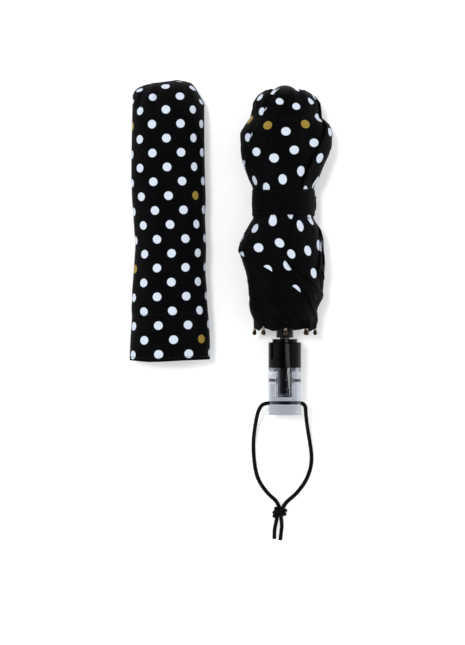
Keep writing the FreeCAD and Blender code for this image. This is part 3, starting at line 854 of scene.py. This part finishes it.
def weld(obj):
    """Joins the two halves along their crease, keeping each vertex's open place."""
    with edited(obj) as mesh:
        pairs = {}
        for r in range(np.count_nonzero(ROWS <= HEM_A)):
            crease = (2 * r + 1) * COLUMNS
            pairs[mesh.verts[crease]] = mesh.verts[crease - 1]
        bmesh.ops.weld_verts(mesh, targetmap=pairs)
        loose = [v for v in mesh.verts if not v.link_faces]
        bmesh.ops.delete(mesh, geom=loose, context="VERTS")


# -------- strap

STRAP_LOW_Y, STRAP_HIGH_Y = 22.9, 42.2
STRAP_T = 0.9

# Reach of its outer face from the shaft's axis towards -X, +X and up, and its mean radius
STRAP_REACH = (25.0, 22.8, 24.6)
STRAP_R = 25.0

# Where it starts, how far it goes round, how high its lap stands, and where it starts
# along the first gore's hem when the canopy is open, as a share of the hem
STRAP_END = math.radians(-42)
STRAP_TURN = TAU + math.radians(22)
STRAP_LAP = STRAP_T + 0.15
STRAP_HEM_START = 0.03


def strap_wave(theta):
    """How far the strap's edges wander along the shaft."""
    return 0.35 * np.sin(2 * theta + 0.8) + 0.2 * np.sin(5 * theta)


def band_points(start, turn, low_y, high_y, lift, rows, columns):
    """A strip round the roll, rows along the shaft by columns round it, and its flat places."""
    u = np.linspace(0, 1, columns)[None, :]
    v = np.linspace(0, 1, rows)[:, None]
    theta = start + turn * u
    y = low_y + (high_y - low_y) * v + strap_wave(theta) * (0.4 + 0.6 * v)
    edge = np.minimum(v, 1 - v) * rows
    roll = -0.18 * np.exp(-((edge / 1.4) ** 2))
    r = oval_reach(*STRAP_REACH, theta) + lift + roll + 0.12 * np.sin(7 * theta + 9 * v)
    x = AXIS_X + r * np.cos(theta)
    z = np.maximum(AXIS_Z + r * np.sin(theta), STRAP_T + 0.1)
    flat = np.stack(np.broadcast_arrays(v * (high_y - low_y), STRAP_R * turn * u), axis=-1)
    return np.stack([x, y, z], axis=-1), flat


def follow_hem(obj, along, across):
    """Stores the open place of the strap or of a piece on it: along the first gore's hem.

    The hem bends in towards the crown between its two rib tips."""
    u = (STRAP_HEM_START + along / HEM_LENGTH)[:, None]
    first, second = (open_rib(k, np.array([RIB_LENGTH]))[0] - CROWN for k in (0, 1))
    hem = (first * (1 - u) + second * u) * (1 - OPEN_HOLLOW * 4 * u * (1 - u))
    out = hem / np.linalg.norm(hem, axis=1, keepdims=True)
    unfold_modifier(obj, CROWN + hem + out * across[:, None])


def make_strap(webbing, thread):
    """The strap round the roll, lapped at its end, with its stitching and its tab."""
    rows, columns = 14, 150
    lap = STRAP_LAP * smoothstep(0.925, 0.965, np.linspace(0, 1, columns)[None, :])
    points, flat = band_points(STRAP_END, STRAP_TURN, STRAP_LOW_Y, STRAP_HIGH_Y, lap, rows, columns)
    faces = grid_faces(rows, columns, flip=True)
    band = mesh_object("closing_strap", points, faces, [webbing], flat)
    follow_hem(band, flat[..., 1].ravel(), flat[..., 0].ravel())
    thicken(band, STRAP_T)
    soften(band, 0.25)
    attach(band, "canopy")
    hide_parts("strap")
    seams = strap_stitching(thread)
    patch = make_fastener(webbing)


def strap_stitching(thread):
    """Two rows of thread near the strap's edges."""
    verts, faces = [], []
    count = 62
    for y in (STRAP_LOW_Y + 1.6, STRAP_HIGH_Y - 1.6):
        for n in range(count):
            theta = STRAP_END + STRAP_TURN * (n + 0.5) / count * 0.9
            r = oval_reach(*STRAP_REACH, theta) + 0.02
            x, z = AXIS_X + r * math.cos(theta), AXIS_Z + r * math.sin(theta)
            if z < 1.2:
                continue
            along = (-math.sin(theta), 0.0, math.cos(theta))
            stitch(verts, faces, (x, y + 0.6 * strap_wave(theta), z), along, 1.5, 0.22)
    obj = mesh_object("strap_stitching", verts, faces, [thread])
    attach(obj, "canopy")
    places = np.array([v.co for v in obj.data.vertices]) / MM
    around = np.mod(np.arctan2(places[:, 2] - AXIS_Z, places[:, 0] - AXIS_X) - STRAP_END, TAU)
    follow_hem(obj, around * STRAP_R, places[:, 1] - STRAP_LOW_Y)
    return obj


def stitch(verts, faces, centre, along, length, width):
    """Adds one stitch of thread: a short rounded spindle."""
    centre, along = np.array(centre), np.array(along) / np.linalg.norm(along)
    side = np.cross(along, (0.0, 0.0, 1.0) if abs(along[2]) < 0.9 else (0.0, 1.0, 0.0))
    side /= np.linalg.norm(side)
    up = np.cross(side, along)
    sizes = [(-0.5, 0.25), (-0.32, 0.85), (0.0, 1.0), (0.32, 0.85), (0.5, 0.25)]
    base, sides = len(verts), 6
    for place, size in sizes:
        for n in range(sides):
            turn = TAU * n / sides
            offset = (side * math.cos(turn) + up * math.sin(turn)) * size * width / 2
            verts.append(centre + along * place * length + offset)
    faces.extend(grid_faces(len(sizes), sides, wrap=True, base=base))
    faces.append([base + n for n in range(sides)][::-1])
    faces.append([base + (len(sizes) - 1) * sides + n for n in range(sides)])


def make_fastener(webbing):
    """The hook-and-loop tab sewn at the strap's end, over +X."""
    rows, columns = 12, 16
    start = STRAP_END + TAU + 0.12
    points, flat = band_points(start, math.radians(25), 27.2, 38.2, STRAP_LAP + 0.45, rows, columns)
    faces = grid_faces(rows, columns, flip=True)
    tab = mesh_object("strap_tab", points, faces, [webbing], flat)
    along = STRAP_R * TAU + np.linspace(0.0, 11.0, columns)
    across = np.linspace(4.0, 15.0, rows)
    follow_hem(tab, np.tile(along, rows), np.repeat(across, columns))
    thicken(tab, 0.6)
    soften(tab, 0.2)
    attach(tab, "canopy")
    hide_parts("strap_fastener")
    return tab


def soften(obj, width):
    """Rounds the edges of a thick strip."""
    modifier = obj.modifiers.new("edges", "BEVEL")
    modifier.width = width * MM
    modifier.segments = 2
    modifier.limit_method = "ANGLE"
    modifier.angle_limit = math.radians(50)
    obj.data.shade_smooth()


# -------- sleeve

# The sleeve's sides: (Y, X of the left side, X of the right side)
SLEEVE_SIDES = np.array([
    (-88.0, -77.2, -15.7), (-70.5, -76.5, -15.9), (-54.2, -75.3, -16.9), (-47.0, -75.7, -17.6),
    (-40.9, -75.4, -18.1), (-33.3, -75.2, -18.1), (-22.0, -74.2, -19.2), (0.0, -72.7, -18.7),
    (22.0, -74.2, -19.6), (35.0, -75.2, -19.0), (50.0, -75.8, -19.5), (66.0, -75.8, -19.9),
    (90.0, -75.3, -20.1), (108.0, -75.0, -20.2), (130.0, -75.0, -20.4),
])
# Its closed end: (X, Y of the end seam)
SLEEVE_END = np.array([
    (-75.2, 114.5), (-73.8, 117.6), (-71.2, 120.5), (-66.0, 122.6), (-59.5, 124.2),
    (-50.0, 125.2), (-41.0, 126.5), (-35.0, 125.6), (-30.4, 124.2), (-27.9, 121.8),
    (-24.0, 115.2), (-21.2, 110.2), (-20.2, 107.4),
])
# Its mouth: (X, Y)
SLEEVE_MOUTH = np.array([
    (-77.2, -86.7), (-62.0, -88.0), (-50.0, -87.6), (-37.0, -86.8), (-15.7, -86.1),
])
SLEEVE_MID_X = -47.0
SLEEVE_HALF = 18.0
SLEEVE_T = 0.45
SLEEVE_LOW_Y, SLEEVE_LENGTH = -87.0, 213.0
SLEEVE_GIRTH = 152
SLEEVE_STITCH_Y = -51.2
STITCH_PITCH = 2.6

# Its cloth: the lean of the dots, a gold dot's place, and how long the closed end tapers
SLEEVE_TWIST = math.radians(-1.4)
SLEEVE_GOLD = (22.9, 37.7)
END_LENGTH = 30.0


def sleeve_outline(y):
    """X of the sleeve's middle, and half its width."""
    left = np.interp(y, SLEEVE_SIDES[:, 0], SLEEVE_SIDES[:, 1])
    right = np.interp(y, SLEEVE_SIDES[:, 0], SLEEVE_SIDES[:, 2])
    return (left + right) / 2, (right - left) / 2


def sleeve_points(v, theta):
    """Places on the sleeve for shares v of its length from the mouth, and angles round it."""
    c, s = np.cos(theta), np.sin(theta)
    side = np.sign(c) * np.abs(c) ** 0.93
    centre, half = sleeve_outline(SLEEVE_LOW_Y + SLEEVE_LENGTH * v)
    x = centre + half * side
    mouth = np.interp(x, SLEEVE_MOUTH[:, 0], SLEEVE_MOUTH[:, 1])
    end = np.interp(x, SLEEVE_END[:, 0], SLEEVE_END[:, 1])
    y = mouth + (end - mouth) * v
    centre, half = sleeve_outline(y)
    x = centre + half * side
    left = (end - y) / END_LENGTH
    closing = np.sqrt(np.clip(1 - np.clip(1 - left, 0, 1) ** 2, 0, 1))
    height = SLEEVE_HALF * (0.045 + 0.955 * closing) * (1 + 0.03 * np.sin(0.05 * y + 1.0))
    mid = 18.6 - 7.0 * (1 - closing) ** 1.5
    z = mid + height * s + sleeve_folds(x, y, s)
    return np.stack([x, y, np.maximum(z, 0.35)], axis=-1)


SLEEVE_BROAD = RoundWaves(5, 7, 30.0, 90.0, 24.0)


def sleeve_folds(x, y, s):
    """Dents near the closed end, a shallow hem line and soft unevenness."""
    top = np.clip(s, 0, 1)
    dent = 0.0
    for fold_x, fold_y, lean, depth, width in (
        (-56.5, 112.0, 0.05, 3.4, 1.7),
        (-68.0, 113.0, 0.35, 2.6, 2.0),
        (-33.0, 118.0, -0.3, 1.2, 2.4),
        (-47.0, 116.0, 0.1, 1.0, 2.6),
    ):
        across = (x - fold_x) - lean * (y - fold_y)
        dent = dent - depth * np.exp(-((across / width) ** 2) - ((y - fold_y) / 9.5) ** 2)
    seam = -0.3 * np.exp(-(((y - SLEEVE_STITCH_Y) / 0.7) ** 2))
    swell = 0.35 * np.exp(-(((y - SLEEVE_STITCH_Y - 3.0) / 3.0) ** 2))
    theta = (x - SLEEVE_MID_X) / 24.0
    return top * (dent + seam + swell + 0.55 * SLEEVE_BROAD(theta, y))


def make_sleeve(dotted, plain, thread):
    """The empty sleeve; its dots are laid out by lengths measured along its cloth."""
    rows, columns = 150, 120
    v = 1 - (1 - np.linspace(0, 1, rows)) ** 1.25
    theta = np.linspace(0, TAU, columns, endpoint=False)
    vv, tt = np.meshgrid(v, theta, indexing="ij")
    points = sleeve_points(vv, tt)
    steps = np.linalg.norm(np.diff(points, axis=1, append=points[:, :1]), axis=-1)
    crown = columns // 4
    arc = np.concatenate([np.zeros((rows, 1)), np.cumsum(steps, axis=1)[:, :-1]], axis=1)
    arc = arc[:, crown:crown + 1] - arc
    arc = 0.5 * arc + 0.5 * arc[rows // 3]
    along = np.linalg.norm(np.diff(points[:, crown], axis=0), axis=-1)
    length = np.concatenate([[0.0], np.cumsum(along)])
    length += points[rows // 2, crown, 1] - length[rows // 2]
    y = points[..., 1] + (length - points[:, crown, 1])[:, None]
    turned_x = arc * math.cos(SLEEVE_TWIST) - y * math.sin(SLEEVE_TWIST)
    turned_y = arc * math.sin(SLEEVE_TWIST) + y * math.cos(SLEEVE_TWIST)
    flat = np.stack([turned_x - SLEEVE_GOLD[0], turned_y - SLEEVE_GOLD[1]], axis=-1)
    faces = grid_faces(rows, columns, wrap=True)
    obj = mesh_object("sleeve_cloth", points, faces, [dotted, plain], flat)
    close_end(obj, rows, columns)
    thicken(obj, SLEEVE_T, inner_slot=1)
    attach(obj, "sleeve")
    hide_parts("sleeve")
    stitches = sleeve_stitches(thread)
    seam = sleeve_end_seam(plain)


def close_end(obj, rows, columns):
    """Closes the sewn end with a strip between its upper and lower edges."""
    with edited(obj) as mesh:
        ring = [mesh.verts[(rows - 1) * columns + n] for n in range(columns)]
        for n in range(columns // 2):
            around = (n, n + 1, columns - n - 1, columns - n)
            corners = list(dict.fromkeys(ring[place % columns] for place in around))
            if len(corners) > 2:
                mesh.faces.new(corners)
        bmesh.ops.recalc_face_normals(mesh, faces=mesh.faces)


def sleeve_stitches(thread):
    """Thread of the hem's seam all round the sleeve, and of the turned mouth."""
    verts, faces = [], []
    count = int(SLEEVE_GIRTH / STITCH_PITCH)
    for line_y in (SLEEVE_STITCH_Y, -84.4):
        v = (line_y - SLEEVE_LOW_Y + 0.2) / SLEEVE_LENGTH
        for n in range(count):
            theta = TAU * (n + 0.5) / count
            place = sleeve_points(v, theta)
            ahead = sleeve_points(v, theta + 0.02)
            if place[2] < 0.6:
                continue
            out = np.array([math.cos(theta) * 0.6, 0.0, math.sin(theta)]) * 0.05
            stitch(verts, faces, place + out, ahead - place, 2.0, 0.42)
    obj = mesh_object("sleeve_stitches", verts, faces, [thread])
    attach(obj, "sleeve")
    return obj


def sleeve_end_seam(plain):
    """The seam allowance that stands out along the sewn end."""
    count, back = 60, 0.9
    verts = []
    for theta in np.linspace(0.12, math.pi - 0.12, count):
        top = sleeve_points(1.0, theta)
        low = sleeve_points(1.0, -theta)
        mid = (top + low) / 2
        lean = 0.25 * math.sin(9 * theta)
        for dy, dz in ((-back, 0.5), (0.5, 0.55), (0.9, 0.0), (0.5, -0.55), (-back, -0.5)):
            verts.append((mid[0], mid[1] + dy, mid[2] + dz + lean))
    faces = grid_faces(count, 5, wrap=True)
    faces.append([0, 1, 2, 3, 4])
    faces.append([(count - 1) * 5 + n for n in (4, 3, 2, 1, 0)])
    obj = mesh_object("sleeve_end_seam", verts, faces, [plain], np.array(verts)[:, :2])
    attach(obj, "sleeve")
    return obj


# -------- cord, knot and rib tips

def make_cords(cord):
    """The wrist cord: through the grip, its two strands and their knot."""
    through = [RIGHT_STRAND[0], (41.0, -119.2, 27.0), LEFT_STRAND[0]]
    inside = curve_object("wrist_cord_through_grip", through, CORD_D, cord)
    knot = make_knot(cord)
    for piece, node in ((inside, "wrist_cord_in_hole"), (knot, "wrist_cord_knot")):
        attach(piece, "handle")
        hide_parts(node)
    strands = (
        ("left", LEFT_STRAND, 0.098, [inside, knot]),
        ("right", RIGHT_STRAND, 0.1, []),
    )
    for side, route, length, going in strands:
        obj = curve_object(f"wrist_cord_{side}_strand", route, CORD_D, cord)
        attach(obj, "handle")
        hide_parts(f"wrist_cord_{side}")
        tuple(c * MM for c in route[0])
        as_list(going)


def make_knot(cord):
    """An overhand knot tied in both strands, with their two short tails."""
    kx, ky, kz = KNOT_CENTRE
    turns, steps = 1.7, 20
    reach_x, reach_z = 4.5, 2.7
    wrap = []
    for n in range(steps + 1):
        share = n / steps
        angle = TAU * turns * share + 0.4
        wrap.append((
            kx + 0.7 + reach_x * math.cos(angle),
            ky - 1.9 + 4.4 * share + 1.5 * math.cos(angle),
            max(kz + reach_z * math.sin(angle), 1.55),
        ))
    obj = curve_object("wrist_cord_knot_turns", wrap, CORD_D * 0.95, cord)
    for route in (
        [(kx - 2.6, ky + 4.5, 3.4), (kx - 1.6, ky + 1.0, 4.0)] + LEFT_TAIL,
        [(kx + 3.4, ky + 4.5, 3.4), (kx + 1.8, ky + 1.0, 4.0)] + RIGHT_TAIL,
    ):
        add_spline(obj.data, route)
    return obj


# The caps of the rib tips: (distance along, radius), where they stand and their slope
TIP_PROFILE = [
    (0.3, 1.02), (0.45, 1.25), (0.75, 1.28), (0.95, 1.1), (1.2, 1.16), (1.65, 1.48),
    (2.4, 1.64), (3.1, 1.5), (3.65, 1.08), (3.98, 0.55), (4.06, 0.0),
]
TIP_SIDES = 20
TIP_R = 23.0
TIP_SLOPE = (TIP_R - 14.6, -161.0)
TIP_SETBACK = 2.4


def make_tips(bronze):
    """A turned bronze cap with a collar over the end of each outer rib."""
    turns = [TAU * n / TIP_SIDES for n in range(TIP_SIDES)]
    for k in range(RIBS):
        c, s = math.cos(k * GORE_ANGLE), math.sin(k * GORE_ANGLE)
        direction = np.array([TIP_SLOPE[0] * c, TIP_SLOPE[1], TIP_SLOPE[0] * s])
        direction /= np.linalg.norm(direction)
        tip = np.array([AXIS_X + TIP_R * c, TIP_Y, AXIS_Z + TIP_R * s])
        end = tip - direction * TIP_SETBACK
        side = np.cross(direction, (-s, 0.0, c))
        other = np.cross(direction, side)
        verts = [
            end + direction * along + (side * math.cos(turn) + other * math.sin(turn)) * r
            for along, r in TIP_PROFILE for turn in turns
        ]
        faces = grid_faces(len(TIP_PROFILE), TIP_SIDES, wrap=True)
        obj = mesh_object(f"rib_tip_cap_{k + 1}", verts, faces, [bronze])
        tidy_normals(obj)
        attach(obj, f"rib_outer_{k + 1}")


def tidy_normals(obj):
    """Joins the points at the cap's end and turns all its faces outwards."""
    with edited(obj) as mesh:
        bmesh.ops.remove_doubles(mesh, verts=mesh.verts, dist=1e-6)
        bmesh.ops.recalc_face_normals(mesh, faces=mesh.faces)


# -------- lights and floor

def area_light(name, place, target, size, power):
    """A rectangular lamp that faces its target."""
    light = bpy.data.lights.new(name, "AREA")
    light.shape = "RECTANGLE"
    light.size, light.size_y = size
    light.energy = power
    obj = link(bpy.data.objects.new(name, light))
    obj.location = place
    obj.rotation_euler = (Vector(target) - Vector(place)).to_track_quat("-Z", "Y").to_euler()


def sun_light(name, place, strength, spread):
    """An even light from this direction that leaves no highlight of its own."""
    light = bpy.data.lights.new(name, "SUN")
    light.energy = strength
    light.angle = math.radians(spread)
    obj = link(bpy.data.objects.new(name, light))
    obj.rotation_euler = (-Vector(place)).to_track_quat("-Z", "Y").to_euler()
    obj.visible_glossy = False
    obj.visible_transmission = False


# The sky's strength at the sides and above
SKY_SIDE = 0.96
SKY_TOP = 0.08


def make_studio():
    """A sky that is bright at the sides, three lights and the white floor."""
    scene = bpy.context.scene
    scene.view_settings.view_transform = "Standard"
    world = scene.world = bpy.data.worlds.new("studio")
    world.use_nodes = True
    tree = world.node_tree
    background = tree.nodes["Background"]
    background.inputs["Color"].default_value = (0.97, 0.98, 1.0, 1.0)
    split = tree.nodes.new("ShaderNodeSeparateXYZ")
    fall = smooth_ramp(tree, 0.5, 0.93, SKY_SIDE, SKY_TOP)
    tree.links.new(tree.nodes.new("ShaderNodeTexCoord").outputs["Generated"], split.inputs[0])
    tree.links.new(split.outputs[2], fall.inputs["Value"])
    tree.links.new(fall.outputs[0], background.inputs["Strength"])
    sun_light("key", (-0.35, 0.25, 1.7), 1.25, 10.0)
    sun_light("overhead", (0.05, 0.0, 1.0), 0.85, 80.0)
    area_light("strip", (0.55, -0.1, 1.6), (0.0, -0.05, 0.0), (0.06, 1.0), 1.3)
    bpy.ops.mesh.primitive_plane_add(size=12.0, location=(0, 0, -0.0002))
    floor = bpy.context.object
    floor.name = "floor"
    floor.data.materials.append(floor_material())


# Looks of the CAD parts: colour, roughness from and to, then coat and specular or stain scale
PLASTICS = [
    ("gloss_black", (0.0010, 0.0010, 0.0013), 0.05, 0.13, 0.03, 0.09),
    ("socket_black", (0.004, 0.004, 0.005), 0.3, 0.45, 0.0, 0.25),
    ("cap_black", (0.002, 0.002, 0.0024), 0.3, 0.45, 0.0, 0.08),
]
METALS = [
    ("screw_steel", (0.05, 0.05, 0.055), 0.3, 0.45, 900.0),
    ("shaft_steel", (0.09, 0.09, 0.1), 0.16, 0.28, 160.0),
    ("rib_steel", (0.62, 0.5, 0.38), 0.24, 0.4, 300.0),
    ("brass_wire", (0.075, 0.052, 0.035), 0.22, 0.38, 900.0),
]


def finish_materials():
    """Gives every CAD node that stays the material of its slot."""
    makers = {"clear_acrylic": acrylic_material()}
    for name, *looks in PLASTICS:
        makers[name] = plastic_material(name, *looks)
    for name, *looks in METALS:
        makers[name] = metal_material(name, *looks)
    for part in frame["record"]["subparts"]:
        material = makers.get(part["material_slot"])
        if material is not None:
            slots = frame["nodes"][part["node"]].data.materials
            slots.clear()
            slots.append(material)
    return makers


def main():
    """Builds the whole scene."""
    make_camera()
    make_cords(cord_material())
    make_studio()
    makers = finish_materials()
    dotted = cloth_material("dotted_cloth", True)
    plain = cloth_material("plain_cloth", False)
    for k, (_, winding) in enumerate(flap_order()):
        make_gore(k, winding, dotted, plain)
    thread = thread_material()
    make_strap(strap_material(), thread)
    make_sleeve(dotted, plain, thread)
    make_tips(makers["brass_wire"])


main()
